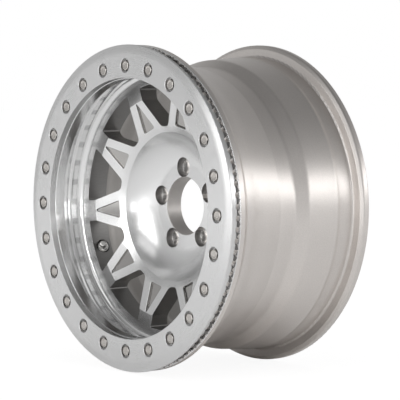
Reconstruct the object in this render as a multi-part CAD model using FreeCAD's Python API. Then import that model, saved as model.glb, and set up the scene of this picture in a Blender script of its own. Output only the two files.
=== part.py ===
import FreeCAD, Part
import math
import os
from FreeCAD import Vector

# Beadlock wheel, millimetres. The axle line is Y, the hub's mounting face is the plane Y = 0,
# outboard is -Y and up is +Z. Depths are read along Y from the mounting face.

# Wheel barrel, outside: radii are rises and falls from the bead seat
bead_seat_r = 220.2
rear_face_y = 122.0
rear_flange_rise = 17.8
rear_flange_front_y = 111.0
rear_flange_edge = 4.5
flange_wall_y = 107.0
flange_wall_rise = 12.3
bead_seat_y = 105.0
bead_seat_front_y = 83.0
bead_seat_fall = 1.8
flange_root_radius = 4.0
hump_y = 76.0
hump_fall = 0.3
hump_front_y = 70.0
hump_front_fall = 1.3
shelf_front_y = 26.6
shelf_front_fall = 4.9
drop_fall = 16.4
drop_rear_y = 8.0
drop_front_y = -19.1
band_edge_y = -70.9
band_edge_fall = 7.3
neck_edge_y = -77.3
neck_edge_fall = 3.5
barrel_bend = 12.0
flange_bend = 2.0

# Wheel barrel, inside: walls between the outside and the bores
rear_lip_width = 11.0
rear_lip_edge = 1.5
rear_bore_y = 103.0
rear_bore_wall = 9.0
shelf_wall = 7.7
drop_wall = 7.3
disc_fillet = 30.0

# Joint between the ring and the wheel: depths run inboard from the seat
seat_y = -127.0
crest_rise = 10.8
crest_width = 3.0
crest_depth = 5.75
crest_gap = 0.5
crest_edge = 0.5
register_clearance = 0.3
scallop_count = 92
scallop_first = 89.2
scallop_depth = 2.6
scallop_half_length = 4.8
front_flange_rise = 15.4
front_flange_front_depth = 8.2
front_flange_rear_depth = 16.4
front_flange_back_depth = 23.0
front_flange_back_rise = 8.3
front_flange_root_depth = 32.0
front_flange_root_fall = 0.2
front_flange_edge = 0.8

# Ring bolts
bolt_count = 24
bolt_inset = 14.2
bolt_first = 90.0
bolt_turn = 37.0
bolt_head_sink = 0.7
bolt_head_flats = 13.0
bolt_head_height = 5.3
bolt_head_bevel = 30.0
bolt_face_share = 0.94
bolt_thread_r = 4.0
bolt_length = 30.0
bolt_tip = 1.0
counterbore_r = 10.0
counterbore_edge = 0.7
bolt_clearance = 0.5
washer_thickness = 1.2
washer_r = 8.1
thread_play = 0.05
insert_wall = 1.0
insert_length = 16.0
insert_sink = 0.5
bolt_hole_spare = 3.0

# Beadlock ring
ring_thickness = 10.5
ring_inner_width = 17.7
ring_inner_edge = 0.6
ring_overhang = 5.0
ring_shoulder_width = 11.0
ring_shoulder_fall = 2.9
ring_shoulder_bend = 30.0
ring_edge_radius = 1.0
ring_rim_thickness = 5.5
ring_hook_start = 9.5

# Dished lip inside the outboard edge: depths run inboard from the seat
lip_inner_width = 18.5
lip_front_edge = 0.8
lip_bore_length = 15.5
lip_hollow_depth = 38.1
lip_hollow_rise = 16.4
lip_step_depth = 51.2
lip_step_rise = 11.9
lip_wall_height = 2.4
lip_wall_run = 1.3
lip_foot_radius = 10.0
land_back = 6.1

# Disc and spokes
spoke_count = 10
spoke_turn = 4.3
rim_land_width = 18.3
spoke_face_depth = 0.8
spoke_root_y = -57.3
face_break = 0.4
spoke_half_width = 15.5
spoke_kink_inset = 0.7
spoke_foot_rise = 0.7
spoke_foot_half_width = 28.0
window_wall = 6.2
window_outer_corner = 2.5
window_inner_corner = 9.0
disc_rear_y = -25.0
disc_rear_corner_y = -52.5
pocket_depth = 3.2
pocket_foot_rise = 1.4
pocket_half_width = 13.1
pocket_tip_radius = 1.5
pocket_corner = 2.0
pocket_break = 0.5

# Hub
pad_thickness = 26.0
pad_front_r = 62.0
bowl_edge_r = 109.8
bowl_edge_y = -52.5
bowl_rim_width = 8.2
pad_rear_r = 75.0
pad_rear_edge = 3.0
bore_r = 42.5
bore_chamfer = 0.8
lug_count = 5
lug_pcd = 114.3
lug_turn = 94.3
lug_hole_r = 7.0
lug_pocket_r = 14.7
lug_pocket_depth = 9.0
lug_seat_r = 12.0
lug_seat_half_angle = 30.0

# Small drilled holes in the dished lip
weep_angles = (146.8, 228.8)
weep_back = 2.1
weep_r = 2.0
weep_depth = 6.0

# Valve, measured along its own axis from the spot face, outwards from the wheel's metal
valve_angle = 202.0
valve_seat_rise = 5.5
valve_seat_y = -48.0
valve_tilt = 35.0
valve_spot_r = 10.3
valve_hole_r = 5.7
valve_wall = 5.0
valve_recess_r = 9.2
grommet_r = 9.5
grommet_thickness = 3.0
inner_seal_r = 8.6
inner_seal_thickness = 2.6
rubber_bore_play = 0.05
rubber_edge = 0.6
stem_flange_r = 7.6
stem_flange_thickness = 2.4
stem_flange_edge = 0.5
stem_r = 5.0
stem_thread_r = 3.85
stem_step = 10.0
stem_top = 22.0
stem_top_bevel = 0.4
valve_cut_spare = 30.0
stem_air_r = 1.9
nut_washer_r = 8.0
nut_washer_thickness = 0.8
nut_flats = 13.0
nut_height = 4.6
core_r = 2.6
core_top_sink = 0.8
core_length = 7.0
core_floor = 1.2
core_bore_r = 1.6
core_guide_r = 0.8
core_seal_sink = 2.0
core_seal_length = 1.6
core_seal_groove = 0.4
core_play = 0.05
pin_r = 0.7
pin_collar_r = 1.4
pin_collar_length = 0.8
pin_collar_sink = 1.8
pin_head_sink = 0.3
pin_foot_r = 1.5
pin_foot_thickness = 1.2
spring_wire_r = 0.17
spring_r = 1.15
spring_turns = 5
cap_r = 5.3
cap_roof = 1.6
cap_dome = 2.5
cap_mouth_edge = 0.4
cap_engagement = 8.5
cap_knurl_count = 16
cap_knurl_r = 0.5
cap_seal_thickness = 1.0

# Distance that a cutter runs past the metal that it cuts, and how near an edge lies on a face
overrun = 1.0
on_surface = 0.02

origin = Vector(0, 0, 0)
axle = Vector(0, 1, 0)
outward = Vector(1, 0, 0)
upward = Vector(0, 0, 1)


def rounded_edges(points, closed=True):
    """Edges through (x, y, radius) points in the XY plane, each corner rounded by its radius."""
    cuts = []
    for i, point in enumerate(points):
        here = Vector(point[0], point[1], 0)
        radius = point[2] if len(point) > 2 else 0
        if radius == 0:
            cuts.append((here, None, here))
            continue
        last = points[i - 1]
        following = points[(i + 1) % len(points)]
        back = (Vector(last[0], last[1], 0) - here).normalize()
        forward = (Vector(following[0], following[1], 0) - here).normalize()
        half = back.getAngle(forward) / 2
        bisector = (back + forward).normalize()
        middle = here + bisector * (radius / math.sin(half) - radius)
        reach = radius / math.tan(half)
        cuts.append((here + back * reach, middle, here + forward * reach))
    edges = []
    for i, (start, middle, end) in enumerate(cuts):
        if middle is not None:
            edges.append(Part.Arc(start, middle, end).toShape())
        if closed or i + 1 < len(cuts):
            run_end = cuts[(i + 1) % len(cuts)][0]
            edges.append(Part.makeLine(end, run_end))
    return edges


def arc_about(centre, radius, first, final):
    """Arc in the XY plane about a centre, between two angles in radians."""
    points = []
    for angle in (first, (first + final) / 2, final):
        points.append(centre + Vector(math.cos(angle), math.sin(angle), 0) * radius)
    return Part.Arc(*points).toShape()


def turned(edges):
    """Solid turned about the axle from a closed section of edges in the XY plane."""
    return Part.Face(Part.Wire(edges)).revolve(origin, axle, 360)


def turned_body(corners):
    """Solid turned about the axle from (radius, depth, corner radius) points."""
    return turned(rounded_edges(corners))


def placed(shape, angle):
    """Copy of a shape made at 3 o'clock, moved round the axle to a clock angle."""
    copy = shape.copy()
    copy.rotate(origin, axle, -angle)
    return copy


def patterned(shape, count, first):
    return [placed(shape, first + i * 360.0 / count) for i in range(count)]


def prism(corners, front_y, back_y):
    """Solid along the axle, from an outline of (outward, sideways, radius) points at 3 o'clock."""
    face = Part.Face(Part.Wire(rounded_edges(corners)))
    face.rotate(origin, outward, 90)
    face.translate(Vector(0, front_y, 0))
    return face.extrude(Vector(0, back_y - front_y, 0))


def rod(radius, front_y, back_y, distance=0.0):
    """Round bar along the axle, at 3 o'clock when it stands off the axle."""
    return Part.makeCylinder(radius, back_y - front_y, Vector(distance, front_y, 0), axle)


def hexagon(flats, front_y, back_y):
    corner_r = flats / math.sqrt(3)
    points = []
    for i in range(6):
        angle = math.radians(60 * i)
        points.append((corner_r * math.cos(angle), corner_r * math.sin(angle)))
    return prism(points, front_y, back_y)


def tube(inner_r, outer_r, front_y, back_y, edge=0.0):
    corners = [(inner_r, front_y), (outer_r, front_y, edge), (outer_r, back_y, edge), (inner_r, back_y)]
    return turned_body(corners)


# Radii that follow from the bead seat and the bowl

rear_flange_r = bead_seat_r + rear_flange_rise
flange_wall_r = bead_seat_r + flange_wall_rise
bead_seat_front_r = bead_seat_r - bead_seat_fall
hump_r = bead_seat_r - hump_fall
hump_front_r = bead_seat_r - hump_front_fall
shelf_front_r = bead_seat_r - shelf_front_fall
drop_r = bead_seat_r - drop_fall
band_edge_r = bead_seat_r - band_edge_fall
neck_edge_r = bead_seat_r - neck_edge_fall
front_flange_root_r = bead_seat_r - front_flange_root_fall
front_flange_back_r = bead_seat_r + front_flange_back_rise
front_flange_r = bead_seat_r + front_flange_rise
rear_lip_inner_r = rear_flange_r - rear_lip_width
rear_bore_r = bead_seat_r - rear_bore_wall
shelf_bore_r = shelf_front_r - shelf_wall
drop_bore_r = drop_r - drop_wall
crest_outer_r = bead_seat_r + crest_rise
register_r = crest_outer_r - crest_width
bolt_circle_r = bead_seat_r - bolt_inset
ring_inner_r = bolt_circle_r - ring_inner_width
ring_outer_r = crest_outer_r + ring_overhang
lip_bore_r = bolt_circle_r - lip_inner_width
lip_hollow_r = lip_bore_r + lip_hollow_rise
lip_step_r = lip_bore_r + lip_step_rise
window_outer_r = lip_bore_r - window_wall
spoke_end_r = window_outer_r - rim_land_width
spoke_kink_out = spoke_end_r - spoke_kink_inset
spoke_root_r = bowl_edge_r + bowl_rim_width
spoke_foot_out = spoke_root_r + spoke_foot_rise
pocket_inner_out = spoke_root_r + pocket_foot_rise
valve_seat_r = window_outer_r + valve_seat_rise

# Depths that follow from the seat between the ring and the wheel

ring_front_y = seat_y - ring_thickness
crest_y = seat_y + crest_depth
front_flange_front_y = seat_y + front_flange_front_depth
front_flange_rear_y = seat_y + front_flange_rear_depth
front_flange_back_y = seat_y + front_flange_back_depth
front_flange_root_y = seat_y + front_flange_root_depth
lip_bore_back_y = seat_y + lip_bore_length
lip_hollow_y = seat_y + lip_hollow_depth
lip_step_y = seat_y + lip_step_depth
land_y = lip_step_y + land_back
spoke_end_y = land_y - spoke_face_depth
bolt_head_front_y = ring_front_y + bolt_head_sink
bolt_head_back_y = bolt_head_front_y + bolt_head_height
counterbore_floor_y = bolt_head_back_y + washer_thickness
bolt_tip_y = bolt_head_back_y + bolt_length
insert_front_y = seat_y + insert_sink
insert_back_y = insert_front_y + insert_length
insert_bore_r = bolt_thread_r + thread_play
insert_r = insert_bore_r + insert_wall
insert_hole_r = insert_r + thread_play
tapped_core_r = bolt_thread_r + bolt_clearance
bolt_hole_back_y = bolt_tip_y + bolt_hole_spare


def scallops(side):
    """Round-bottomed notches across a crest, all round: side 1 for the wheel, -1 for the ring."""
    radius = (scallop_half_length ** 2 + scallop_depth ** 2) / (2 * scallop_depth)
    centre_y = crest_y - side * (radius - scallop_depth - crest_gap / 2)
    start = Vector(register_r - crest_width, centre_y, 0)
    cutter = Part.makeCylinder(radius, 3 * crest_width, start, outward)
    return Part.makeCompound(patterned(cutter, scallop_count, scallop_first))


# Wheel, forged and turned in one piece

def wheel_blank():
    """Barrel, dished lip, disc and hub as they leave the lathe."""
    crest_back_y = crest_y + crest_gap / 2
    shelf_bore_y = shelf_front_y + shelf_front_r - shelf_bore_r - barrel_bend / 2
    outside = [
        (bore_r, 0),
        (pad_rear_r, 0, pad_rear_edge),
        (spoke_root_r, disc_rear_y, barrel_bend),
        (drop_bore_r, disc_rear_corner_y, disc_fillet),
        (drop_bore_r, drop_rear_y, barrel_bend),
        (shelf_bore_r, shelf_bore_y, barrel_bend),
        (rear_bore_r, rear_bore_y, barrel_bend),
        (rear_lip_inner_r, rear_face_y, rear_lip_edge),
        (rear_flange_r, rear_face_y, rear_flange_edge),
        (rear_flange_r, rear_flange_front_y, rear_flange_edge),
        (flange_wall_r, flange_wall_y, flange_bend),
        (bead_seat_r, bead_seat_y, flange_root_radius),
        (bead_seat_front_r, bead_seat_front_y),
        (hump_r, hump_y, barrel_bend),
        (hump_front_r, hump_front_y),
        (shelf_front_r, shelf_front_y, barrel_bend),
        (drop_r, drop_rear_y, barrel_bend),
        (drop_r, drop_front_y, barrel_bend),
        (band_edge_r, band_edge_y),
        (neck_edge_r, neck_edge_y),
        (front_flange_root_r, front_flange_root_y, barrel_bend),
        (front_flange_back_r, front_flange_back_y, barrel_bend),
        (front_flange_r, front_flange_rear_y, flange_bend),
        (front_flange_r, front_flange_front_y, front_flange_edge),
        (crest_outer_r, crest_back_y + crest_edge),
        (crest_outer_r - crest_edge, crest_back_y),
        (register_r, crest_back_y),
        (register_r, seat_y),
        (lip_bore_r + lip_front_edge, seat_y),
        (lip_bore_r, seat_y + lip_front_edge),
        (lip_bore_r, lip_bore_back_y),
        (lip_hollow_r, lip_hollow_y),
        (lip_hollow_r - lip_wall_height, lip_hollow_y + lip_wall_run),
        (lip_step_r + lip_wall_height, lip_step_y - lip_wall_run),
        (lip_step_r, lip_step_y),
    ]
    foot_lift = math.asin(1 - (land_y - lip_step_y) / lip_foot_radius)
    foot_r = lip_step_r - lip_foot_radius * math.cos(foot_lift)
    foot_centre = Vector(foot_r, land_y - lip_foot_radius, 0)
    front = [
        (foot_r, land_y),
        (spoke_end_r, land_y),
        (spoke_end_r - face_break, spoke_end_y),
        (spoke_root_r, spoke_root_y),
        (bowl_edge_r, bowl_edge_y),
    ]
    bowl_run = bowl_edge_r - pad_front_r
    bowl_rise = -pad_thickness - bowl_edge_y
    bowl_radius = (bowl_run ** 2 + bowl_rise ** 2) / (2 * bowl_rise)
    bowl_centre = Vector(pad_front_r, -pad_thickness - bowl_radius, 0)
    bowl_start = math.acos(bowl_run / bowl_radius)
    pad = [
        (pad_front_r, -pad_thickness),
        (bore_r + bore_chamfer, -pad_thickness),
        (bore_r, -pad_thickness + bore_chamfer),
        (bore_r, 0),
    ]
    edges = rounded_edges(outside, closed=False)
    edges.append(arc_about(foot_centre, lip_foot_radius, foot_lift, math.pi / 2))
    edges.extend(rounded_edges(front, closed=False))
    edges.append(arc_about(bowl_centre, bowl_radius, bowl_start, math.pi / 2))
    edges.extend(rounded_edges(pad, closed=False))
    return turned(edges)


def window_cutters():
    """Through windows between the spokes, each with sides that follow its two spokes."""
    half_pitch = math.radians(180.0 / spoke_count)
    outer_out = math.sqrt(window_outer_r ** 2 - spoke_half_width ** 2)
    side = []
    for out, across in (
        (spoke_foot_out, spoke_foot_half_width),
        (spoke_kink_out, spoke_half_width),
        (outer_out, spoke_half_width),
    ):
        turn = half_pitch - math.atan2(across, out)
        reach = math.hypot(out, across)
        side.append((reach * math.cos(turn), reach * math.sin(turn)))
    foot, kink, outer = side
    slope = (kink[1] - foot[1]) / (kink[0] - foot[0])
    inner_half = foot[1] - slope * (foot[0] - spoke_root_r)
    # the outer end runs on past the outer radius, which then trims it round
    beyond = outer[0] + (outer[0] - kink[0])
    beyond_half = outer[1] + (outer[1] - kink[1])
    corners = [
        (spoke_root_r, -inner_half, window_inner_corner),
        (kink[0], -kink[1]),
        (beyond, -beyond_half),
        (beyond, beyond_half),
        (kink[0], kink[1]),
        (spoke_root_r, inner_half, window_inner_corner),
    ]
    cutter = prism(corners, lip_step_y, 0).common(rod(window_outer_r, lip_step_y, 0))
    ends = []
    for edge in cutter.Edges:
        middle = edge.valueAt((edge.FirstParameter + edge.LastParameter) / 2)
        far = math.hypot(middle.x, middle.z) > window_outer_r - on_surface
        along = abs(edge.Vertexes[0].Point.y - edge.Vertexes[-1].Point.y) > overrun
        if far and along:
            ends.append(edge)
    cutter = cutter.makeFillet(window_outer_corner, ends)
    first = spoke_turn + 180.0 / spoke_count
    return Part.makeCompound(patterned(cutter, spoke_count, first))


def pocket_cutters():
    """Shallow three-sided pockets in the spoke feet, with floors parallel to the coned face."""
    rise = (spoke_half_width - spoke_foot_half_width) / (spoke_kink_out - spoke_foot_out)
    tip = pocket_inner_out - pocket_half_width / rise
    corners = [
        (pocket_inner_out, -pocket_half_width, pocket_corner),
        (tip, 0, pocket_tip_radius),
        (pocket_inner_out, pocket_half_width, pocket_corner),
    ]
    slope = (spoke_end_y - spoke_root_y) / (spoke_end_r - face_break - spoke_root_r)
    floor_root_y = spoke_root_y + pocket_depth
    floor_tip_y = floor_root_y + slope * (tip - spoke_root_r)
    layer = turned_body([
        (spoke_root_r - pocket_corner, floor_root_y - slope * pocket_corner),
        (tip, floor_tip_y),
        (tip, lip_step_y),
        (spoke_root_r - pocket_corner, lip_step_y),
    ])
    cutter = prism(corners, lip_step_y, disc_rear_y).common(layer)
    return Part.makeCompound(patterned(cutter, spoke_count, spoke_turn))


def pocket_mouths(body):
    """Edges where the pockets meet the coned spoke faces."""
    slope = (spoke_end_y - spoke_root_y) / (spoke_end_r - face_break - spoke_root_r)
    pitch = 360.0 / spoke_count
    mouths = []
    for edge in body.Edges:
        middle = edge.valueAt((edge.FirstParameter + edge.LastParameter) / 2)
        reach = math.hypot(middle.x, middle.z)
        if not spoke_root_r < reach < spoke_end_r - face_break:
            continue
        angle = math.degrees(math.atan2(middle.z, middle.x)) - spoke_turn
        angle = (angle + pitch / 2) % pitch - pitch / 2
        across = abs(reach * math.sin(math.radians(angle)))
        face_y = spoke_root_y + slope * (reach - spoke_root_r)
        if across < pocket_half_width + pocket_break and abs(middle.y - face_y) < on_surface:
            mouths.append(edge)
    return mouths


def lug_cutters():
    """Wheel-nut holes: a pocket, a coned seat and the stud hole."""
    pitch_r = lug_pcd / 2
    floor_y = lug_pocket_depth - pad_thickness
    seat_depth = (lug_seat_r - lug_hole_r) / math.tan(math.radians(lug_seat_half_angle))
    cutter = turned_body([
        (0, lip_step_y),
        (lug_pocket_r, lip_step_y),
        (lug_pocket_r, floor_y),
        (lug_seat_r, floor_y),
        (lug_hole_r, floor_y + seat_depth),
        (lug_hole_r, pad_rear_edge),
        (0, pad_rear_edge),
    ])
    cutter.translate(Vector(pitch_r, 0, 0))
    return Part.makeCompound(patterned(cutter, lug_count, lug_turn))


def bolt_hole_cutters():
    """Blind tapped holes for the thread inserts, all round the seat."""
    wide = rod(insert_hole_r, seat_y, insert_back_y, bolt_circle_r)
    core = rod(tapped_core_r, seat_y, bolt_hole_back_y, bolt_circle_r)
    return Part.makeCompound(patterned(wide.fuse(core), bolt_count, bolt_first))


def weep_cutters():
    """Small blind holes drilled outwards into the dished lip."""
    drills = []
    for angle in weep_angles:
        start = Vector(lip_bore_r - weep_depth, lip_bore_back_y + weep_back, 0)
        drill = Part.makeCylinder(weep_r, 2 * weep_depth, start, outward)
        drills.append(placed(drill, angle))
    return Part.makeCompound(drills)


def at_valve(shape):
    """A shape made along the axle with its spot face at zero, moved to the valve's place."""
    copy = shape.copy()
    copy.rotate(origin, upward, 90 + valve_tilt)
    copy.translate(Vector(valve_seat_r, valve_seat_y, 0))
    return placed(copy, valve_angle)


def valve_cutters():
    """Spot face in the window's wall, the valve hole and the recess on the tyre side."""
    spot = rod(valve_spot_r, 0, stem_top)
    hole = rod(valve_hole_r, -valve_wall - overrun, overrun)
    recess = rod(valve_recess_r, -valve_wall - valve_cut_spare, -valve_wall)
    return at_valve(spot.fuse(hole).fuse(recess))


def wheel():
    """The whole wheel: the turned blank with its windows, pockets, holes and scallops."""
    body = wheel_blank().cut(window_cutters())
    body = body.cut(pocket_cutters())
    body = body.makeChamfer(pocket_break, pocket_mouths(body))
    inside = rod(register_r, seat_y - crest_depth, 0)
    body = body.cut(scallops(1).cut(inside))
    body = body.cut(lug_cutters())
    body = body.cut(bolt_hole_cutters())
    body = body.cut(weep_cutters())
    return body.cut(valve_cutters())


# Clamp ring on the outboard face

def beadlock_ring():
    """Ring with sunk bolt holes and a scalloped lip that hooks over the wheel's shoulder."""
    lip_bore = register_r + register_clearance
    lip_back_y = crest_y - crest_gap / 2
    body = turned_body([
        (ring_inner_r, ring_front_y, ring_inner_edge),
        (ring_outer_r - ring_shoulder_width, ring_front_y, ring_shoulder_bend),
        (ring_outer_r, ring_front_y + ring_shoulder_fall, ring_edge_radius),
        (ring_outer_r, ring_front_y + ring_rim_thickness, ring_edge_radius),
        (crest_outer_r, ring_front_y + ring_hook_start),
        (crest_outer_r, lip_back_y - crest_edge),
        (crest_outer_r - crest_edge, lip_back_y),
        (lip_bore, lip_back_y),
        (lip_bore, seat_y),
        (ring_inner_r, seat_y),
    ])
    mouth_r = counterbore_r + counterbore_edge
    sink = turned_body([
        (0, ring_front_y),
        (mouth_r, ring_front_y),
        (counterbore_r, ring_front_y + counterbore_edge),
        (counterbore_r, counterbore_floor_y),
        (bolt_thread_r + bolt_clearance, counterbore_floor_y),
        (bolt_thread_r + bolt_clearance, seat_y),
        (0, seat_y),
    ])
    sink.translate(Vector(bolt_circle_r, 0, 0))
    body = body.cut(patterned(sink, bolt_count, bolt_first))
    return body.cut(scallops(-1))


# Ring bolts, their washers and the steel thread inserts

def ring_bolts():
    """Hexagon bolts, each head left at its own clock angle."""
    corner_r = bolt_head_flats / math.sqrt(3)
    face_r = bolt_head_flats / 2 * bolt_face_share
    bevel_height = (corner_r - face_r) * math.tan(math.radians(bolt_head_bevel))
    blank = turned_body([
        (0, bolt_head_front_y),
        (face_r, bolt_head_front_y),
        (corner_r, bolt_head_front_y + bevel_height),
        (corner_r, bolt_head_back_y),
        (0, bolt_head_back_y),
    ])
    head = hexagon(bolt_head_flats, bolt_head_front_y, bolt_head_back_y).common(blank)
    shank = turned_body([
        (0, bolt_head_back_y - overrun),
        (bolt_thread_r, bolt_head_back_y - overrun),
        (bolt_thread_r, bolt_tip_y - bolt_tip),
        (bolt_thread_r - bolt_tip, bolt_tip_y),
        (0, bolt_tip_y),
    ])
    bolt = head.fuse(shank)
    bolts = []
    for i in range(bolt_count):
        turned_bolt = bolt.copy()
        turned_bolt.rotate(origin, axle, i * bolt_turn)
        turned_bolt.translate(Vector(bolt_circle_r, 0, 0))
        bolts.append(placed(turned_bolt, bolt_first + i * 360.0 / bolt_count))
    return Part.makeCompound(bolts)


def ring_washers():
    inner_r = bolt_thread_r + bolt_clearance / 2
    washer = tube(inner_r, washer_r, bolt_head_back_y, counterbore_floor_y)
    washer.translate(Vector(bolt_circle_r, 0, 0))
    return Part.makeCompound(patterned(washer, bolt_count, bolt_first))


def thread_inserts():
    insert = tube(insert_bore_r, insert_r, insert_front_y, insert_back_y)
    insert.translate(Vector(bolt_circle_r, 0, 0))
    return Part.makeCompound(patterned(insert, bolt_count, bolt_first))


# Valve, clamped through the outer wall of one window

nut_front = grommet_thickness + nut_washer_thickness
core_top = stem_top - core_top_sink
core_bottom = core_top - core_length
stem_bottom = -valve_wall - inner_seal_thickness
spring_bottom = core_bottom + core_floor
pin_collar_bottom = core_top - pin_collar_sink


def valve_stem():
    """Threaded stem with its flange on the tyre side and the bore for the core."""
    body = turned_body([
        (stem_air_r, stem_bottom - stem_flange_thickness),
        (stem_flange_r, stem_bottom - stem_flange_thickness, stem_flange_edge),
        (stem_flange_r, stem_bottom),
        (stem_r, stem_bottom),
        (stem_r, stem_step),
        (stem_thread_r, stem_step + stem_r - stem_thread_r),
        (stem_thread_r, stem_top - stem_top_bevel),
        (stem_thread_r - stem_top_bevel, stem_top),
        (core_r, stem_top),
        (core_r, core_bottom),
        (stem_air_r, core_bottom),
    ])
    return at_valve(body)


def valve_grommet():
    """Rubber washer seen round the nut."""
    inner_r = stem_r + rubber_bore_play
    return at_valve(tube(inner_r, grommet_r, 0, grommet_thickness, rubber_edge))


def valve_inner_seal():
    """Rubber washer under the stem's flange, on the tyre side."""
    inner_r = stem_r + rubber_bore_play
    return at_valve(tube(inner_r, inner_seal_r, stem_bottom, -valve_wall, rubber_edge))


def valve_washer():
    inner_r = stem_r + rubber_bore_play
    return at_valve(tube(inner_r, nut_washer_r, grommet_thickness, nut_front))


def valve_nut():
    """Hexagon nut with a bevelled outer face."""
    corner_r = nut_flats / math.sqrt(3)
    bevel = corner_r - nut_flats / 2
    top = nut_front + nut_height
    blank = turned_body([
        (stem_r + thread_play, nut_front),
        (corner_r, nut_front),
        (corner_r, top - bevel),
        (nut_flats / 2 - bevel / 2, top),
        (stem_r + thread_play, top),
    ])
    return at_valve(hexagon(nut_flats, nut_front, top).common(blank))


def valve_core_body():
    """Tube screwed into the stem, with a guide hole in its floor and a groove for its seal."""
    outer_r = core_r - core_play
    seal_top = core_top - core_seal_sink
    seal_bottom = seal_top - core_seal_length
    return at_valve(turned_body([
        (core_guide_r, core_bottom),
        (outer_r, core_bottom),
        (outer_r, seal_bottom),
        (outer_r - core_seal_groove, seal_bottom),
        (outer_r - core_seal_groove, seal_top),
        (outer_r, seal_top),
        (outer_r, core_top),
        (core_bore_r, core_top),
        (core_bore_r, spring_bottom),
        (core_guide_r, spring_bottom),
    ]))


def valve_core_seal():
    outer_r = core_r - core_play / 2
    inner_r = core_r - core_play - core_seal_groove
    seal_top = core_top - core_seal_sink
    return at_valve(tube(inner_r, outer_r, seal_top - core_seal_length, seal_top))


def valve_core_pin():
    """Pin with the collar that the spring lifts and the foot that closes the core."""
    return at_valve(turned_body([
        (0, core_bottom - pin_foot_thickness),
        (pin_foot_r, core_bottom - pin_foot_thickness),
        (pin_foot_r, core_bottom),
        (pin_r, core_bottom),
        (pin_r, pin_collar_bottom),
        (pin_collar_r, pin_collar_bottom),
        (pin_collar_r, pin_collar_bottom + pin_collar_length),
        (pin_r, pin_collar_bottom + pin_collar_length),
        (pin_r, stem_top - pin_head_sink),
        (0, stem_top - pin_head_sink),
    ]))


def valve_core_spring():
    """Coil between the core's floor and the pin's collar."""
    rise = pin_collar_bottom - spring_bottom - 2 * spring_wire_r
    helix = Part.makeHelix(rise / spring_turns, rise, spring_r)
    section = Part.Wire(Part.makeCircle(spring_wire_r, Vector(spring_r, 0, 0), axle))
    coil = Part.Wire(helix.Edges).makePipeShell([section], True, True)
    coil.rotate(origin, outward, -90)
    coil.translate(Vector(0, spring_bottom + spring_wire_r, 0))
    return at_valve(coil)


def valve_cap():
    """Domed screw cap with a grooved grip."""
    mouth = stem_top - cap_engagement
    roof = stem_top + cap_seal_thickness
    body = turned_body([
        (0, roof),
        (stem_thread_r + thread_play, roof),
        (stem_thread_r + thread_play, mouth),
        (cap_r, mouth, cap_mouth_edge),
        (cap_r, roof + cap_roof, cap_dome),
        (0, roof + cap_roof),
    ])
    groove_end = roof + cap_roof - cap_dome
    groove = rod(cap_knurl_r, mouth - overrun, groove_end, cap_r + cap_knurl_r / 2)
    body = body.cut(patterned(groove, cap_knurl_count, 0))
    return at_valve(body)


def valve_cap_seal():
    return at_valve(rod(stem_thread_r, stem_top, stem_top + cap_seal_thickness))


def main():
    os.makedirs("parts", exist_ok=True)
    pieces = [
        ("wheel", wheel),
        ("beadlock_ring", beadlock_ring),
        ("ring_bolts", ring_bolts),
        ("ring_washers", ring_washers),
        ("thread_inserts", thread_inserts),
        ("valve_stem", valve_stem),
        ("valve_grommet", valve_grommet),
        ("valve_inner_seal", valve_inner_seal),
        ("valve_washer", valve_washer),
        ("valve_nut", valve_nut),
        ("valve_core_body", valve_core_body),
        ("valve_core_seal", valve_core_seal),
        ("valve_core_pin", valve_core_pin),
        ("valve_core_spring", valve_core_spring),
        ("valve_cap", valve_cap),
        ("valve_cap_seal", valve_cap_seal),
    ]
    for name, make in pieces:
        shape = make()
        shape.exportStep("parts/" + name + ".step")


main()
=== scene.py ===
import bpy
import bmesh
import math
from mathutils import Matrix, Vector


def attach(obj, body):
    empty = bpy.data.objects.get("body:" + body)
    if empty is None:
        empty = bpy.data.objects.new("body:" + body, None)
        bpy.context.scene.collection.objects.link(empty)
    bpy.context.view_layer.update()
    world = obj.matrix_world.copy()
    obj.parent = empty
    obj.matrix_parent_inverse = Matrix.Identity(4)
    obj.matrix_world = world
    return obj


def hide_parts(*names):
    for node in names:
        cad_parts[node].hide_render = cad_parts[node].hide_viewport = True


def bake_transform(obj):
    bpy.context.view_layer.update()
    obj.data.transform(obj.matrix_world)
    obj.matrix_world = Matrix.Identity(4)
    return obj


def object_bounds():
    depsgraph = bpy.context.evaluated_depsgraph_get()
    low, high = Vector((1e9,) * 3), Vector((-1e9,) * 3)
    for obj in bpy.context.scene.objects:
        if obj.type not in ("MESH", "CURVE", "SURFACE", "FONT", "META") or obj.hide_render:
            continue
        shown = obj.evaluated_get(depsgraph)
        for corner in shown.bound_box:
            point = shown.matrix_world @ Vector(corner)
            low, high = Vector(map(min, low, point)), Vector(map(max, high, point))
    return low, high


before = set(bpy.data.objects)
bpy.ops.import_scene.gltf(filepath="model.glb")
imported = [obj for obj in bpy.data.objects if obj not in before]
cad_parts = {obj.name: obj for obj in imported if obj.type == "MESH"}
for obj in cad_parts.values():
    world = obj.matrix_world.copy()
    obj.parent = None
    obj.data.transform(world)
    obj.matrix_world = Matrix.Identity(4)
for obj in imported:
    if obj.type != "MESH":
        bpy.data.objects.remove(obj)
cad_low, cad_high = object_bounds()


# Wheel: one aluminium forging, turned all over on a lathe and then milled for its windows,
# pockets and holes. The dished side is polished, the barrel is left with a dull warm skin.

axle = Vector((0, 1, 0))
merge_distance = 2e-6
smooth_limit = math.radians(24)
turned_limit = 0.03


def lathe_parts(point, direction):
    """The radial, axial and turning parts of a direction at a point round the axle."""
    spoke = Vector((point.x, 0, point.z)).normalized()
    return direction.dot(spoke), direction.y, direction.dot(axle.cross(spoke))


def put_in_scene(name, data):
    """A new object for a mesh, lamp or camera, linked into the scene."""
    thing = bpy.data.objects.new(name, data)
    bpy.context.scene.collection.objects.link(thing)
    return thing


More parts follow.
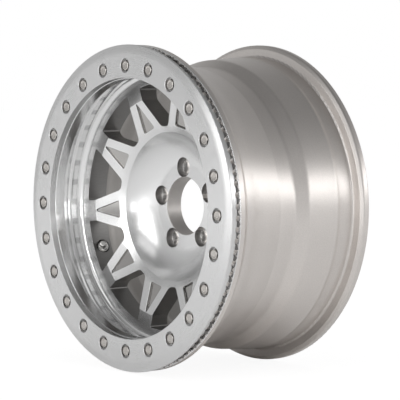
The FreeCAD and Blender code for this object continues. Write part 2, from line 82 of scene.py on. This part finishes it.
def solid_copy(node, name, extra=None):
    """The CAD solid as one joined mesh, as smooth as it was turned, its real edges sharp.

    extra, where it is given, adds faces to the mesh before it is shaded.
    """
    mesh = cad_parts[node].data.copy()
    mesh.name = name
    mesh.materials.clear()
    work = bmesh.new()
    work.from_mesh(mesh)
    bmesh.ops.remove_doubles(work, verts=work.verts, dist=merge_distance)
    if extra:
        extra(work)
    work.faces.index_update()
    work.normal_update()
    level = {}
    for face in work.faces:
        radial, axial, along = lathe_parts(face.calc_center_median(), face.normal)
        if abs(along) < turned_limit:
            level[face.index] = Vector((radial, axial)).normalized()
    profiles = {}
    for face in work.faces:
        if face.index not in level:
            continue
        beside = [other for edge in face.edges for other in edge.link_faces if other is not face]
        smooth = [other for other in beside if face.normal.angle(other.normal, 0) < smooth_limit]
        if all(other.index in level for other in smooth):
            profiles[face.index] = level[face.index]
    normals = []
    for face in work.faces:
        face.smooth = True
        profile = profiles.get(face.index)
        for loop in face.loops:
            joined = Vector((0, 0, 0))
            for other in loop.vert.link_faces:
                if face.normal.angle(other.normal, 0) > smooth_limit:
                    continue
                weight = other.calc_area()
                near = profiles.get(other.index)
                if profile is None:
                    joined += other.normal * weight
                elif near is not None:
                    spoke = Vector((loop.vert.co.x, 0, loop.vert.co.z)).normalized()
                    joined += (spoke * near.x + axle * near.y) * weight
            normals.append(joined.normalized() if joined.length > 0 else face.normal.copy())
    work.to_mesh(mesh)
    work.free()
    mesh.normals_split_custom_set(normals)
    return put_in_scene(name, mesh)


lug_count = 5
lug_first = math.radians(94.3)
lug_pitch = math.tau / lug_count
web_reach = math.radians(4.6)
web_steps = 8
web_profile = ((0.04251, -0.0252), (0.0428, -0.0252), (0.0428, -0.0168), (0.04251, -0.0168))


def pocket_webs(work):
    """Thin webs that part each wheel-nut pocket from the bore, where their circles just meet."""
    for lug in range(lug_count):
        rows = []
        for step in range(web_steps + 1):
            turn = lug_first + lug * lug_pitch + web_reach * (2 * step / web_steps - 1)
            rows.append([
                work.verts.new((reach * math.cos(turn), depth, reach * math.sin(turn)))
                for reach, depth in web_profile
            ])
        faces = [work.faces.new(rows[0]), work.faces.new(rows[-1])]
        for row, following in zip(rows, rows[1:]):
            for k in range(len(row)):
                after = (k + 1) % len(row)
                faces.append(work.faces.new((row[k], row[after], following[after], following[k])))
        bmesh.ops.recalc_face_normals(work, faces=faces)


edge_radius = 0.0005
edge_samples = 6
noise_span = (0.3, 0.7)


def bare_metal(name):
    """A new metal material, with its node tree and its shader."""
    material = bpy.data.materials.new(name)
    material.use_nodes = True
    shader = material.node_tree.nodes["Principled BSDF"]
    shader.inputs["Metallic"].default_value = 1.0
    return material, material.node_tree, shader


def worked_out(tree, operation, *values):
    """The result of one Math node on sockets and plain numbers."""
    step = tree.nodes.new("ShaderNodeMath")
    step.operation = operation
    for socket, value in zip(step.inputs, values):
        if isinstance(value, (int, float)):
            socket.default_value = value
        else:
            tree.links.new(value, socket)
    return step.outputs[0]


def noise(tree, vector, scale, detail):
    """A plain noise over a vector."""
    made = tree.nodes.new("ShaderNodeTexNoise")
    made.inputs["Scale"].default_value = scale
    made.inputs["Detail"].default_value = detail
    tree.links.new(vector, made.inputs["Vector"])
    return made.outputs["Fac"]


def ranged(tree, source, low, high, span=(0.0, 1.0), kind="LINEAR"):
    """A value that goes from low to high while its source goes over a span."""
    made = tree.nodes.new("ShaderNodeMapRange")
    made.interpolation_type = kind
    made.inputs["From Min"].default_value, made.inputs["From Max"].default_value = span
    made.inputs["To Min"].default_value = low
    made.inputs["To Max"].default_value = high
    tree.links.new(source, made.inputs["Value"])
    return made.outputs["Result"]


def two_tones(tree, source, dark, light, span=noise_span):
    """A colour that goes from dark to light while its source goes over a span."""
    made = tree.nodes.new("ShaderNodeValToRGB")
    for k, colour in enumerate((dark, light)):
        made.color_ramp.elements[k].position = span[k]
        made.color_ramp.elements[k].color = (*colour, 1)
    tree.links.new(source, made.inputs["Fac"])
    return made.outputs["Color"]


def raised(tree, shader, height, strength, distance, eased=True):
    """Fine relief on the shader, over edges that are eased as a deburred edge is."""
    bump = tree.nodes.new("ShaderNodeBump")
    bump.inputs["Strength"].default_value = strength
    bump.inputs["Distance"].default_value = distance
    if eased:
        rounding = tree.nodes.new("ShaderNodeBevel")
        rounding.samples = edge_samples
        rounding.inputs["Radius"].default_value = edge_radius
        tree.links.new(rounding.outputs["Normal"], bump.inputs["Normal"])
    tree.links.new(height, bump.inputs["Height"])
    tree.links.new(bump.outputs["Normal"], shader.inputs["Normal"])


def turning_coordinates(tree):
    """Place, radius, depth and clock angle of a surface point, from Object coordinates."""
    nodes, links = tree.nodes, tree.links
    place = nodes.new("ShaderNodeTexCoord")
    split = nodes.new("ShaderNodeSeparateXYZ")
    links.new(place.outputs["Object"], split.inputs[0])
    angle = worked_out(tree, "ARCTAN2", split.outputs["Z"], split.outputs["X"])
    flat = nodes.new("ShaderNodeCombineXYZ")
    links.new(split.outputs["X"], flat.inputs["X"])
    links.new(split.outputs["Z"], flat.inputs["Z"])
    radius = nodes.new("ShaderNodeVectorMath")
    radius.operation = "LENGTH"
    links.new(flat.outputs[0], radius.inputs[0])
    return place.outputs["Object"], radius.outputs["Value"], split.outputs["Y"], angle


reflection_streak_edge = (0.35, 0.85)


def painted_reflection_streaks(tree, tone, angle, depth, marks):
    """A tone with a row of soft painted dark reflections round the axle, over a range of depth."""
    count, first_depth, last_depth, streak_tone = marks
    lobes = worked_out(tree, "COSINE", worked_out(tree, "MULTIPLY", angle, count))
    middle, half = (first_depth + last_depth) / 2, (last_depth - first_depth) / 2
    within = worked_out(tree, "COMPARE", depth, middle, half)
    dark = ranged(tree, lobes, 0.0, 1.0 - streak_tone, reflection_streak_edge, "SMOOTHSTEP")
    dim = tree.nodes.new("ShaderNodeMix")
    dim.data_type = "RGBA"
    tree.links.new(worked_out(tree, "MULTIPLY", dark, within), dim.inputs["Factor"])
    tree.links.new(tone, dim.inputs["A"])
    dim.inputs["B"].default_value = (0.0, 0.0, 0.0, 1)
    return dim.outputs["Result"]


groove_detail = 3.0
groove_drift = 0.003
groove_depth = 0.00005
groove_tone = 0.98
groove_gloss = (0.93, 1.07)
skin_scale = 900.0
skin_detail = 2.0
cloud_scale = 14.0
cloud_detail = 2.0
cloud_tone = 0.97
cloud_gloss = 0.02


def turned_metal(
    name, colour, roughness, groove_scale, anisotropy, grain=0.0, groove_bump=0.1, marks=None
):
    """Aluminium off the lathe: fine rings round the axle stretch each highlight across them."""
    material, tree, shader = bare_metal(name)
    nodes, links = tree.nodes, tree.links
    shader.inputs["Anisotropic"].default_value = anisotropy
    shader.inputs["Anisotropic Rotation"].default_value = 0.25
    place, radius, depth, angle = turning_coordinates(tree)

    around = nodes.new("ShaderNodeVectorMath")
    around.operation = "CROSS_PRODUCT"
    around.inputs[0].default_value = axle
    links.new(place, around.inputs[1])
    unit = nodes.new("ShaderNodeVectorMath")
    unit.operation = "NORMALIZE"
    links.new(around.outputs[0], unit.inputs[0])
    links.new(unit.outputs[0], shader.inputs["Tangent"])

    rings = nodes.new("ShaderNodeCombineXYZ")
    links.new(radius, rings.inputs["X"])
    links.new(depth, rings.inputs["Y"])
    links.new(worked_out(tree, "MULTIPLY", angle, groove_drift), rings.inputs["Z"])
    grooves = noise(tree, rings.outputs[0], groove_scale, groove_detail)
    skin = noise(tree, place, skin_scale, skin_detail)
    cloud = noise(tree, place, cloud_scale, cloud_detail)

    specks = ranged(tree, skin, 1.0 - grain, 1.0, noise_span)
    clouds = ranged(tree, cloud, cloud_tone, 1.0, noise_span)
    lines = ranged(tree, grooves, groove_tone, 1.0, noise_span)
    shade = worked_out(tree, "MULTIPLY", lines, worked_out(tree, "MULTIPLY", specks, clouds))
    toned = nodes.new("ShaderNodeMix")
    toned.data_type = "RGBA"
    toned.blend_type = "MULTIPLY"
    toned.inputs["Factor"].default_value = 1.0
    toned.inputs["A"].default_value = (*colour, 1)
    links.new(shade, toned.inputs["B"])
    tone = toned.outputs["Result"]
    # marks, where given, paints dark reflection streaks into the tone.
    if marks:
        tone = painted_reflection_streaks(tree, tone, angle, depth, marks)
    links.new(tone, shader.inputs["Base Color"])

    smoothest, roughest = (roughness * share for share in groove_gloss)
    gloss = ranged(tree, grooves, smoothest, roughest, noise_span)
    cloudy = ranged(tree, cloud, -cloud_gloss, cloud_gloss, noise_span)
    links.new(worked_out(tree, "ADD", gloss, cloudy), shader.inputs["Roughness"])
    raised(tree, shader, grooves, groove_bump, groove_depth)
    return material


cutter_detail = 3.0
cutter_tone = 0.88
cutter_gloss = (0.9, 1.1)
cutter_bump = 0.2


def milled_metal(name, colour, roughness, scale, stretch, mark_height):
    """Aluminium off the milling cutter: an even satin with faint marks left along the axle."""
    material, tree, shader = bare_metal(name)
    nodes, links = tree.nodes, tree.links
    place = nodes.new("ShaderNodeTexCoord")
    stretched = nodes.new("ShaderNodeMapping")
    stretched.inputs["Scale"].default_value = (1.0, stretch, 1.0)
    links.new(place.outputs["Object"], stretched.inputs["Vector"])
    marks = noise(tree, stretched.outputs[0], scale, cutter_detail)
    tone = two_tones(tree, marks, [part * cutter_tone for part in colour], colour)
    links.new(tone, shader.inputs["Base Color"])
    smoothest, roughest = (roughness * share for share in cutter_gloss)
    links.new(ranged(tree, marks, smoothest, roughest), shader.inputs["Roughness"])
    raised(tree, shader, marks, cutter_bump, mark_height)
    return material


wheel = solid_copy("wheel", "wheel_body", pocket_webs)

# The lip's painted dark reflections: how many, from and to which depth, and the tone left in their
# middle.
lip_painted_reflections = (42, -0.0876, -0.0771, 0.72)
finishes = {
    "polished": turned_metal(
        "polished_aluminium", (0.84, 0.84, 0.84), 0.24, 2500.0, anisotropy=0.70, groove_bump=0.01
    ),
    # The lip's colour carries painted dark reflections in streaks round the axle.
    "lip": turned_metal(
        "bright_lip_aluminium", (0.90, 0.90, 0.90), 0.13, 2500.0, anisotropy=0.75,
        groove_bump=0.01, marks=lip_painted_reflections
    ),
    "barrel": turned_metal(
        "dull_barrel_aluminium", (0.78, 0.74, 0.71), 0.36, 900.0, anisotropy=0.35, grain=0.10
    ),
    "inside": turned_metal(
        "dull_inside_aluminium", (0.47, 0.452, 0.435), 0.55, 900.0, anisotropy=0.2, grain=0.08
    ),
    # Milled walls of the windows, nut pockets, crest notches and drain holes: their dark tone is
    # painted shade.
    "walls_painted_shade": milled_metal(
        "milled_walls_painted_shade", (0.27, 0.264, 0.258), 0.42, 900.0, stretch=0.1, mark_height=0.00003
    ),
    "pockets": milled_metal(
        "milled_pocket_floors", (0.50, 0.487, 0.474), 0.12, 700.0, stretch=1.0, mark_height=0.00002
    ),
    "bore": turned_metal(
        "turned_bore_aluminium", (0.60, 0.575, 0.555), 0.45, 900.0, anisotropy=0.2, grain=0.05
    ),
    "drilled": milled_metal(
        "drilled_holes", (0.90, 0.88, 0.86), 0.22, 2500.0, stretch=1.0, mark_height=0.000001
    ),
}
for material in finishes.values():
    wheel.data.materials.append(material)

slot_number = {key: number for number, key in enumerate(finishes)}

# Radii from the axle and depths along it, in metres, at which the wheel's finishes change.
hub_bore = 0.0430
hub_back = -0.0005
lug_circle = 0.05715
lug_pocket = 0.0147
lug_zone = lug_circle + lug_pocket + 0.001
lug_outer = lug_pocket + 0.0003
lug_wall = lug_pocket - 0.0008
lug_floor = -0.0255
crest_inner = 0.2278
crest_back = -0.1208
crest_end = crest_back + 0.001
flange_edge = 0.2340
flange_front = -0.1175
barrel_inner = 0.2000
disc_back = -0.0245
window_inner = 0.1159
window_outer = 0.1818
window_front = -0.0753
fillet_inner = window_outer + 0.0022
fillet_front = -0.0560
spoke_root = (0.1180, -0.0573)
spoke_end = (0.1626, -0.0705)
spoke_slope = (spoke_end[1] - spoke_root[1]) / (spoke_end[0] - spoke_root[0])
spoke_tip = 0.1560
pocket_least = 0.0002
pocket_side = 0.0031
pocket_floor = 0.0038
lip_inner = 0.1850
lip_back = -0.0700
drain_angles = (math.radians(146.8), math.radians(228.8))
drain_depth = -0.1094
drain_reach = 0.0026

# How much of a face's normal points along the axle, outward or round it, to tell faces apart.
along_axle = 0.98
outward = 0.9
half_way = 0.5
sideways = 0.3
sloped = 0.2
turned_side = 0.1


def finish_of(face):
    """The finish that a face of the wheel has, from where it lies and which way it looks."""
    reach = math.hypot(face.center.x, face.center.z)
    depth = face.center.y
    clock = math.atan2(face.center.z, face.center.x)
    radial, axial, along = lathe_parts(face.center, face.normal)
    if reach < hub_bore:
        return "bore"
    if reach < lug_zone and depth < hub_back:
        turn = clock - lug_first
        turn -= round(turn / lug_pitch) * lug_pitch
        off = math.hypot(reach * math.cos(turn) - lug_circle, reach * math.sin(turn))
        if off < lug_outer and (abs(axial) < along_axle or depth > lug_floor):
            # Nut pocket sides take the walls' painted shade; seats and floors stay bright.
            return "walls_painted_shade" if off > lug_wall and abs(axial) < sideways else "drilled"
    if reach > crest_inner and depth < crest_end and abs(axial) > sloped and radial < outward:
        return "walls_painted_shade"
    if reach > flange_edge and depth < flange_front and radial > 0:
        return "polished"
    if depth > crest_back and radial > 0 and reach > barrel_inner:
        return "barrel"
    if depth > crest_back and axial > sideways and reach > crest_inner:
        return "barrel"
    if depth > disc_back or (axial > sideways and depth > window_front):
        return "inside"
    if reach > fillet_inner and depth > fillet_front and abs(along) < turned_side:
        return "inside"
    if window_inner < reach < window_outer and depth > window_front:
        below = depth - spoke_root[1] - spoke_slope * (reach - spoke_root[0])
        floor = axial < -half_way and below < pocket_floor or below < pocket_side
        if reach < spoke_tip and below > pocket_least and floor:
            return "pockets"
        if abs(axial) < sideways:
            return "walls_painted_shade"
    if reach > lip_inner and abs(radial) < half_way:
        for angle in drain_angles:
            across = reach * math.sin(clock - angle)
            if math.hypot(across, depth - drain_depth) < drain_reach:
                return "walls_painted_shade"
    if reach > lip_inner and depth < lip_back and (radial < 0 or axial < -sideways):
        return "lip"
    return "polished"


for face in wheel.data.polygons:
    face.material_index = slot_number[finish_of(face)]
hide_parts("wheel")
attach(wheel, "wheel")


# Clamp ring: turned and drilled aluminium plate, brushed round, bolted on to the outboard
# face so that its scalloped lip hooks over the wheel's shoulder.

ring = solid_copy("beadlock_ring", "clamp_ring")
ring.data.materials.append(turned_metal(
    "brushed_ring_aluminium", (0.77, 0.77, 0.77), 0.29, 1800.0, anisotropy=0.65, groove_bump=0.01
))
# The scallop notches under the hook get a dark tone: painted shade in their gaps.
ring.data.materials.append(milled_metal(
    "notches_painted_shade", (0.34, 0.33, 0.32), 0.34, 900.0, stretch=0.1, mark_height=0.00001
))
shaded_notch_slot = 1
hook_inner = 0.2282
hook_front = -0.1265
for face in ring.data.polygons:
    reach = math.hypot(face.center.x, face.center.z)
    radial = lathe_parts(face.center, face.normal)[0]
    if reach > hook_inner and face.center.y > hook_front and radial < outward:
        face.material_index = shaded_notch_slot
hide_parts("beadlock_ring")
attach(ring, "wheel")


# Ring bolts: 24 zinc-plated hexagon bolts, forged with a bevelled and faintly dished head, run
# down through the ring into the wheel's steel thread inserts, each on a flat washer.

bolt_count = 24
bolt_circle = 0.206
first_clock_angle = math.radians(90)
head_turn = math.radians(37)
head_flats = 0.013
head_corner = head_flats / math.sqrt(3)
head_face = 0.0061
head_front = -0.1368
head_back = -0.1315
head_dish = 0.0002
dish_floor = (0.45, 0.80)
dish_rim = 0.90
bevel_slope = math.radians(30)
bevel_middle = 0.45
shank_radius = 0.004
shank_end = -0.1015
shank_bevel = 0.001
round_steps = 36
turned_edge = math.radians(28)
forged_edge = math.radians(40)
plate_detail = 3.0
plate_tone = 0.86
plate_gloss = (0.8, 1.3)
plate_bump = 0.15
plate_grain = 0.0001


def plain_metal(name, colour, roughness, grain_scale=600.0):
    """Small turned or plated steel and brass parts, with a fine grain in tone and gloss."""
    material, tree, shader = bare_metal(name)
    place = tree.nodes.new("ShaderNodeTexCoord")
    grain = noise(tree, place.outputs["Object"], grain_scale, plate_detail)
    tone = two_tones(tree, grain, [part * plate_tone for part in colour], colour)
    tree.links.new(tone, shader.inputs["Base Color"])
    smoothest, roughest = (roughness * share for share in plate_gloss)
    tree.links.new(ranged(tree, grain, smoothest, roughest), shader.inputs["Roughness"])
    raised(tree, shader, grain, plate_bump, plate_grain, eased=False)
    return material


def lofted(name, loops, closed=False, sharp_angle=turned_edge):
    """A skin through loops of points, with both ends capped, or joined if it is a ring."""
    work = bmesh.new()
    rows = [[work.verts.new(point) for point in loop] for loop in loops]
    pairs = list(zip(rows, rows[1:]))
    if closed:
        pairs.append((rows[-1], rows[0]))
    for row, following in pairs:
        for k in range(len(row)):
            after = (k + 1) % len(row)
            work.faces.new((row[k], row[after], following[after], following[k]))
    if not closed:
        work.faces.new(rows[0])
        work.faces.new(rows[-1])
    bmesh.ops.recalc_face_normals(work, faces=work.faces)
    for face in work.faces:
        face.smooth = True
    mesh = bpy.data.meshes.new(name)
    work.to_mesh(mesh)
    work.free()
    mesh.set_sharp_from_angle(angle=sharp_angle)
    return put_in_scene(name, mesh)


def ring_of_points(radius, depth, steps=round_steps):
    """A round loop about a bolt's own axis."""
    return [
        (radius * math.cos(math.tau * k / steps), depth, radius * math.sin(math.tau * k / steps))
        for k in range(steps)
    ]


def hexagon_of_points(depth, most, steps=round_steps):
    """A hexagonal loop with flats across the head, rounded off where it would pass a radius."""
    points = []
    for k in range(steps):
        angle = math.tau * k / steps
        from_flat = (angle + math.pi / 6) % (math.pi / 3) - math.pi / 6
        reach = min(head_flats / 2 / math.cos(math.pi / 6 - abs(from_flat)), most)
        points.append((reach * math.cos(angle), depth, reach * math.sin(angle)))
    return points


def bolt_circle_pattern():
    """Copies a piece round the bolt circle, each copy turned a step further about its own axis."""
    tree = bpy.data.node_groups.new("round_the_bolt_circle", "GeometryNodeTree")
    face = tree.interface
    face.new_socket("Piece", in_out="INPUT", socket_type="NodeSocketGeometry")
    inputs = {}
    for label, kind in (
        ("Count", "NodeSocketInt"),
        ("Circle Radius", "NodeSocketFloat"),
        ("First Angle", "NodeSocketFloat"),
        ("Own Turn", "NodeSocketFloat"),
        ("Finish", "NodeSocketMaterial"),
    ):
        inputs[label] = face.new_socket(label, in_out="INPUT", socket_type=kind).identifier
    face.new_socket("Pieces", in_out="OUTPUT", socket_type="NodeSocketGeometry")
    nodes, links = tree.nodes, tree.links
    given = nodes.new("NodeGroupInput").outputs
    result = nodes.new("NodeGroupOutput")
    number = nodes.new("GeometryNodeInputIndex").outputs[0]
    pitch = worked_out(tree, "DIVIDE", math.tau, given["Count"])
    stepped = worked_out(tree, "MULTIPLY", number, pitch)
    angle = worked_out(tree, "ADD", given["First Angle"], stepped)
    place = nodes.new("ShaderNodeCombineXYZ")
    for axis, operation in (("X", "COSINE"), ("Z", "SINE")):
        share = worked_out(tree, operation, angle)
        reach = worked_out(tree, "MULTIPLY", given["Circle Radius"], share)
        links.new(reach, place.inputs[axis])
    own = worked_out(tree, "MULTIPLY", number, given["Own Turn"])
    turn = nodes.new("ShaderNodeCombineXYZ")
    links.new(worked_out(tree, "SUBTRACT", own, angle), turn.inputs["Y"])
    points = nodes.new("GeometryNodePoints")
    links.new(given["Count"], points.inputs["Count"])
    links.new(place.outputs[0], points.inputs["Position"])
    spin = nodes.new("FunctionNodeEulerToRotation")
    links.new(turn.outputs[0], spin.inputs["Euler"])
    copies = nodes.new("GeometryNodeInstanceOnPoints")
    links.new(points.outputs[0], copies.inputs["Points"])
    links.new(given["Piece"], copies.inputs["Instance"])
    links.new(spin.outputs[0], copies.inputs["Rotation"])
    real = nodes.new("GeometryNodeRealizeInstances")
    links.new(copies.outputs[0], real.inputs[0])
    finish = nodes.new("GeometryNodeSetMaterial")
    links.new(real.outputs[0], finish.inputs["Geometry"])
    links.new(given["Finish"], finish.inputs["Material"])
    links.new(finish.outputs[0], result.inputs[0])
    return tree, inputs


circle_tree, circle_inputs = bolt_circle_pattern()


def round_the_circle(piece, own_turn, finish):
    """Makes a piece into one plain mesh of all its copies round the bolt circle."""
    pattern = piece.modifiers.new("pattern", "NODES")
    pattern.node_group = circle_tree
    pattern[circle_inputs["Count"]] = bolt_count
    pattern[circle_inputs["Circle Radius"]] = bolt_circle
    pattern[circle_inputs["First Angle"]] = first_clock_angle
    pattern[circle_inputs["Own Turn"]] = own_turn
    pattern[circle_inputs["Finish"]] = finish
    depsgraph = bpy.context.evaluated_depsgraph_get()
    depsgraph.update()
    made = bpy.data.meshes.new_from_object(piece.evaluated_get(depsgraph))
    piece.modifiers.remove(pattern)
    piece.data = made


zinc = plain_metal("zinc_plated_steel", (0.62, 0.59, 0.56), 0.20)
bevel_fall = (head_corner - head_face) * math.tan(bevel_slope)
bolts = lofted("bolts", [
    *[ring_of_points(head_face * share, head_front + head_dish) for share in dish_floor],
    ring_of_points(head_face * dish_rim, head_front),
    hexagon_of_points(head_front, head_face),
    hexagon_of_points(head_front + bevel_fall * bevel_middle, (head_face + head_corner) / 2),
    hexagon_of_points(head_front + bevel_fall, head_corner),
    hexagon_of_points(head_back, head_corner),
    ring_of_points(shank_radius, head_back),
    ring_of_points(shank_radius, shank_end - shank_bevel),
    ring_of_points(shank_radius - shank_bevel, shank_end),
], sharp_angle=forged_edge)
round_the_circle(bolts, head_turn, zinc)
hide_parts("ring_bolts")
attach(bolts, "wheel")


# Washers: flat rings stamped from zinc-plated steel sheet. One lies loose on the floor of each
# sunk hole, and the bolt's head presses it down.

washer_inner = 0.00425
washer_outer = 0.0081
washer_front = -0.1315
washer_back = -0.1303
washer_edge = 0.0002
washers = lofted("washers", [
    ring_of_points(washer_inner, washer_front),
    ring_of_points(washer_outer - washer_edge, washer_front),
    ring_of_points(washer_outer, washer_front + washer_edge),
    ring_of_points(washer_outer, washer_back),
    ring_of_points(washer_inner, washer_back),
], closed=True)
round_the_circle(washers, 0.0, zinc)
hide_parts("ring_washers")
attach(washers, "wheel")


# Thread inserts: plain steel bushes, turned and then screwed into the wheel's aluminium, one
# for each bolt, so that the bolts don't wear the soft metal out.

insert_inner = 0.00405
insert_outer = 0.00505
insert_front = -0.1265
insert_back = -0.1105
steel = plain_metal("plain_steel", (0.55, 0.55, 0.55), 0.35)
inserts = lofted("inserts", [
    ring_of_points(insert_inner, insert_front),
    ring_of_points(insert_outer, insert_front),
    ring_of_points(insert_outer, insert_back),
    ring_of_points(insert_inner, insert_back),
], closed=True)
round_the_circle(inserts, 0.0, steel)
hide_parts("thread_inserts")
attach(inserts, "wheel")


# Valve: a nickel-plated brass stem clamped through the wall of one window by its nut, with a
# black rubber washer each side. A brass core with its seal, spring and pin sits under the cap.

valve_slots = {
    "valve_stem": "valve_metal",
    "valve_nut": "valve_metal",
    "valve_washer": "valve_metal",
    "valve_cap": "valve_metal",
    "valve_grommet": "valve_rubber",
    "valve_inner_seal": "valve_rubber",
    "valve_core_seal": "valve_rubber",
    "valve_cap_seal": "valve_rubber",
    "valve_core_body": "core_brass",
    "valve_core_pin": "core_brass",
    "valve_core_spring": "insert_steel",
}
valve_bodies = {
    "valve_cap": "valve_cap",
    "valve_cap_seal": "valve_cap",
    "valve_core_pin": "valve_pin",
}
valve_merge = 1e-6
valve_edge = math.radians(35)
bloom_scale = 400.0
bloom_detail = 2.0
soot = ((0.010, 0.010, 0.010), (0.028, 0.027, 0.026))
rubber_gloss = (0.5, 0.75)
nickel = plain_metal("nickel_plate", (0.74, 0.73, 0.71), 0.2)
brass = plain_metal("brass", (0.78, 0.62, 0.33), 0.3)
rubber = bpy.data.materials.new("black_rubber")
rubber.use_nodes = True
rubber_tree = rubber.node_tree
rubber_shader = rubber_tree.nodes["Principled BSDF"]
rubber_shader.inputs["Specular IOR Level"].default_value = 0.35
place = rubber_tree.nodes.new("ShaderNodeTexCoord")
bloom = noise(rubber_tree, place.outputs["Object"], bloom_scale, bloom_detail)
tone = two_tones(rubber_tree, bloom, *soot, span=(0.0, 1.0))
rubber_tree.links.new(tone, rubber_shader.inputs["Base Color"])
gloss = ranged(rubber_tree, bloom, *rubber_gloss)
rubber_tree.links.new(gloss, rubber_shader.inputs["Roughness"])
valve_finish = {
    "valve_metal": nickel,
    "valve_rubber": rubber,
    "core_brass": brass,
    "insert_steel": steel,
}
for node, slot in valve_slots.items():
    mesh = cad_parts[node].data.copy()
    work = bmesh.new()
    work.from_mesh(mesh)
    bmesh.ops.remove_doubles(work, verts=work.verts, dist=valve_merge)
    for face in work.faces:
        face.smooth = True
    work.to_mesh(mesh)
    work.free()
    mesh.set_sharp_from_angle(angle=valve_edge)
    mesh.materials.clear()
    mesh.materials.append(valve_finish[slot])
    fitted = put_in_scene(node + "_fitted", mesh)
    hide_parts(node)
    if node == "valve_core_spring":
        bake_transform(fitted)
    else:
        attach(fitted, valve_bodies.get(node, "wheel"))


# Studio: a wide white floor at the wheel's lowest point, a grey room that is brightest at the
# horizon and fades towards its ceiling, and soft boxes that the polished metal mirrors. The
# camera stands where the photograph was taken from.

floor_reach = 30
floor_glow = 1.08
floor_share = 0.85
corners = [
    (x * floor_reach, y * floor_reach, cad_low.z) for x, y in ((-1, -1), (1, -1), (1, 1), (-1, 1))
]
floor_mesh = bpy.data.meshes.new("floor")
floor_mesh.from_pydata(corners, [], [(0, 1, 2, 3)])
floor = put_in_scene("floor", floor_mesh)
floor_paint = bpy.data.materials.new("white_floor")
floor_paint.use_nodes = True
nodes, links = floor_paint.node_tree.nodes, floor_paint.node_tree.links
floor_shader = nodes["Principled BSDF"]
floor_shader.inputs["Base Color"].default_value = (0.9, 0.9, 0.9, 1)
floor_shader.inputs["Roughness"].default_value = 0.9
glow = nodes.new("ShaderNodeEmission")
glow.inputs["Strength"].default_value = floor_glow
ray = nodes.new("ShaderNodeLightPath")
pick = nodes.new("ShaderNodeMixShader")
seen = worked_out(floor_paint.node_tree, "MULTIPLY", ray.outputs["Is Camera Ray"], floor_share)
links.new(seen, pick.inputs["Fac"])
links.new(floor_shader.outputs[0], pick.inputs[1])
links.new(glow.outputs[0], pick.inputs[2])
links.new(pick.outputs[0], nodes["Material Output"].inputs["Surface"])
floor.data.materials.append(floor_paint)

world = bpy.data.worlds.new("studio")
bpy.context.scene.world = world
world.use_nodes = True
nodes, links = world.node_tree.nodes, world.node_tree.links
background = nodes["Background"]
place = nodes.new("ShaderNodeTexCoord")
split = nodes.new("ShaderNodeSeparateXYZ")
links.new(place.outputs["Generated"], split.inputs[0])
sky = nodes.new("ShaderNodeValToRGB")
ceiling_fade = ((0.0, 0.58), (0.3, 0.52), (0.5, 0.42), (0.65, 0.34), (0.8, 0.24), (1.0, 0.20))
for k, (height, level) in enumerate(ceiling_fade):
    stop = sky.color_ramp.elements[k] if k < 2 else sky.color_ramp.elements.new(height)
    stop.position = height
    stop.color = (level, level, level, 1)
links.new(split.outputs["Z"], sky.inputs["Fac"])
links.new(sky.outputs["Color"], background.inputs["Color"])
white = nodes.new("ShaderNodeBackground")
white.inputs["Color"].default_value = (1, 1, 1, 1)
ray = nodes.new("ShaderNodeLightPath")
pick = nodes.new("ShaderNodeMixShader")
links.new(ray.outputs["Is Camera Ray"], pick.inputs["Fac"])
links.new(background.outputs[0], pick.inputs[1])
links.new(white.outputs[0], pick.inputs[2])
links.new(pick.outputs[0], nodes["World Output"].inputs["Surface"])

# Each soft box: its heading from the wheel, its width and height, and how bright it looks.
box_distance = 3.5
watts_for_radiance = 4
soft_boxes = {
    "front_box": ((0.02, -0.96, 0.235), (2.8, 1.5), 1.4),
    "low_box": ((0.107, -0.994, -0.02), (1.1, 0.34), 1.5),
    "front_top": ((0.10, -0.72, 0.66), (2.4, 1.0), 0.5),
    "edge_box": ((0.63, -0.775, 0.03), (0.9, 0.6), 1.6),
    "rear_strip": ((0.74, 0.62, 0.20), (6.0, 0.7), 1.5),
}


def area_lamp(name, size, watts):
    """A flat rectangular lamp that the camera doesn't see."""
    lamp = bpy.data.lights.new(name, "AREA")
    lamp.shape = "RECTANGLE"
    lamp.size, lamp.size_y = size
    lamp.energy = watts
    holder = put_in_scene(name, lamp)
    holder.visible_camera = False
    return holder


for name, (heading, size, radiance) in soft_boxes.items():
    box = area_lamp(name, size, radiance * watts_for_radiance * size[0] * size[1])
    box.location = Vector(heading).normalized() * box_distance
    box.rotation_mode = "QUATERNION"
    box.rotation_quaternion = (-box.location).to_track_quat("-Z", "Y")

overhead = put_in_scene("overhead", bpy.data.lights.new("overhead", "SUN"))
overhead.data.energy = 1.0
overhead.data.angle = math.radians(60)
overhead.rotation_euler = (math.radians(-4), math.radians(18), 0)
overhead.visible_glossy = False
floor_lamp = area_lamp("floor_lamp", (6.0, 3.0), 90.0)
floor_lamp.location = (-1.5, -4.2, 2.0)
floor_lamp.visible_glossy = False

view_azimuth = math.radians(50.7068)
view_height = math.radians(3.1363)
back = Vector((
    math.sin(view_azimuth) * math.cos(view_height),
    -math.cos(view_azimuth) * math.cos(view_height),
    math.sin(view_height),
))
camera = put_in_scene("camera", bpy.data.cameras.new("camera"))
camera.data.lens = 181.49
camera.data.sensor_width = 36.0
camera.location = (2.31157, -1.88937, 0.17145)
camera.rotation_mode = "QUATERNION"
camera.rotation_quaternion = (-back).to_track_quat("-Z", "Y")
bpy.context.scene.camera = camera
bpy.context.scene.view_settings.view_transform = "Standard"
